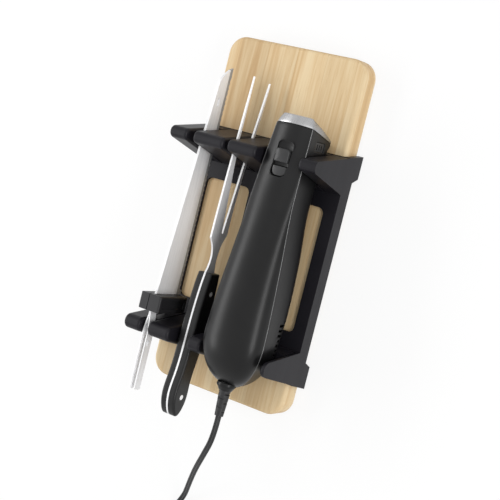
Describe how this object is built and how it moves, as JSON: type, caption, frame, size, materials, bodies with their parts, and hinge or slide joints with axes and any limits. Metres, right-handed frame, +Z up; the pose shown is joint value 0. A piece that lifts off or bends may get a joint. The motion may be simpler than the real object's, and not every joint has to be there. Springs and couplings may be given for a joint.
{
  "type": "electric carving knife set",
  "caption": "Electric carving knife handle with cord, blade pair and carving fork, held in a black storage rack over a wooden cutting board.",
  "frame": {"origin": "centre of the cutting board's underside, on the surface that it stands on", "axes": "+Z up, +Y along the board towards the blade tips and the handle's nose, +X across the board towards the power handle"},
  "size_m": [0.1685, 0.6235, 0.104],
  "materials": {
    "board_wood": "oiled, fine grain",
    "rack_plastic": "satin black moulding",
    "shell_plastic": "soft satin black",
    "collar_steel": "brushed",
    "inner_plastic": "moulded",
    "spring_steel": "plain",
    "brass_parts": "plain",
    "stator_iron": "laminated",
    "copper_winding": "lacquered copper wire",
    "carbon": "carbon block",
    "cord_rubber": "matte",
    "button_plastic": "fine matte",
    "gear_plastic": "natural nylon",
    "blade_steel": "brushed, satin",
    "guard_plastic": "satin black",
    "grip_plastic": "polished black"
  },
  "bodies": {
    "board": {"cutting_board": "board_wood"},
    "rack": {"storage_rack": "rack_plastic"},
    "handle": {"upper_shell": "shell_plastic", "lower_shell": "shell_plastic", "nose_collar": "collar_steel", "nose_plate": "inner_plastic", "shell_screw_1": "spring_steel", "shell_screw_2": "spring_steel", "shell_screw_3": "spring_steel", "shell_screw_4": "spring_steel", "shell_screw_5": "spring_steel", "shell_screw_6": "spring_steel", "power_switch": "inner_plastic", "button_spring": "spring_steel", "gear_frame": "inner_plastic", "wheel_axle": "spring_steel", "driver_guide": "inner_plastic", "bearing_front": "brass_parts", "bearing_rear": "brass_parts", "motor_stator": "stator_iron", "field_coil_left": "copper_winding", "field_coil_right": "copper_winding", "motor_mount": "inner_plastic", "brush_left": "carbon", "brush_right": "carbon", "brush_holder_left": "brass_parts", "brush_holder_right": "brass_parts", "strain_relief": "cord_rubber", "cord_free": "cord_rubber", "cord_coil": "cord_rubber", "plug_body": "cord_rubber", "plug_pin_left": "brass_parts", "plug_pin_right": "brass_parts"},
    "lock": {"lock_slider": "button_plastic"},
    "button": {"push_button": "button_plastic"},
    "release": {"blade_release": "button_plastic"},
    "rotor": {"motor_shaft": "spring_steel", "armature": "stator_iron", "commutator": "copper_winding", "fan": "inner_plastic"},
    "wheel": {"worm_wheel": "gear_plastic"},
    "left_driver": {"driver_left": "gear_plastic"},
    "right_driver": {"driver_right": "gear_plastic"},
    "blades": {"blade_left": "blade_steel", "guard_left": "guard_plastic", "tang_stud_left": "blade_steel", "tip_rivet": "blade_steel"},
    "right_blade": {"blade_right": "blade_steel", "guard_right": "guard_plastic", "tang_stud_right": "blade_steel"},
    "fork": {"fork_blade": "blade_steel", "fork_scale_left": "grip_plastic", "fork_scale_right": "grip_plastic", "fork_rivet_front": "blade_steel", "fork_rivet_rear": "blade_steel"}
  },
  "joints": [
    {"name": "rack_lift", "type": "slide", "parent": "board", "child": "rack", "axis": [0, 0, 1], "range_m": [0, 0.04]},
    {"name": "handle_lift", "type": "slide", "parent": "rack", "child": "handle", "axis": [0, 0, 1], "range_m": [0, 0.1]},
    {"name": "lock_slide", "type": "slide", "parent": "handle", "child": "lock", "axis": [0, 1, 0], "range_m": [0, 0.007]},
    {"name": "button_press", "type": "slide", "parent": "handle", "child": "button", "axis": [0, 0, -1], "range_m": [0, 0.003], "stiffness_N_per_m": 400, "springref_m": -0.003, "deforming": ["button_spring"]},
    {"name": "release_press", "type": "slide", "parent": "handle", "child": "release", "axis": [-1, 0, 0], "range_m": [0, 0.003], "stiffness_N_per_m": 400, "springref_m": -0.003},
    {"name": "motor_spin", "type": "hinge", "parent": "handle", "child": "rotor", "pos_m": [0.045, 0, 0.0712], "axis": [0, 1, 0], "continuous": true},
    {"name": "wheel_spin", "type": "hinge", "parent": "handle", "child": "wheel", "pos_m": [0.045, -0.01, 0.0542], "axis": [1, 0, 0], "continuous": true},
    {"name": "driver_left_slide", "type": "slide", "parent": "handle", "child": "left_driver", "axis": [0, 1, 0], "range_m": [-0.004, 0.004]},
    {"name": "driver_right_slide", "type": "slide", "parent": "handle", "child": "right_driver", "axis": [0, 1, 0], "range_m": [-0.004, 0.004]},
    {"name": "blades_lift", "type": "slide", "parent": "rack", "child": "blades", "axis": [0, 0, 1], "range_m": [0, 0.1]},
    {"name": "blade_slide", "type": "slide", "parent": "blades", "child": "right_blade", "axis": [0, 1, 0], "range_m": [0, 0.008]},
    {"name": "fork_lift", "type": "slide", "parent": "rack", "child": "fork", "axis": [0, 0, 1], "range_m": [0, 0.1]}
  ],
  "couplings": [
    {"joint": "wheel_spin", "follows": "motor_spin", "ratio": 0.038462},
    {"joint": "driver_right_slide", "follows": "driver_left_slide", "ratio": -1}
  ]
}
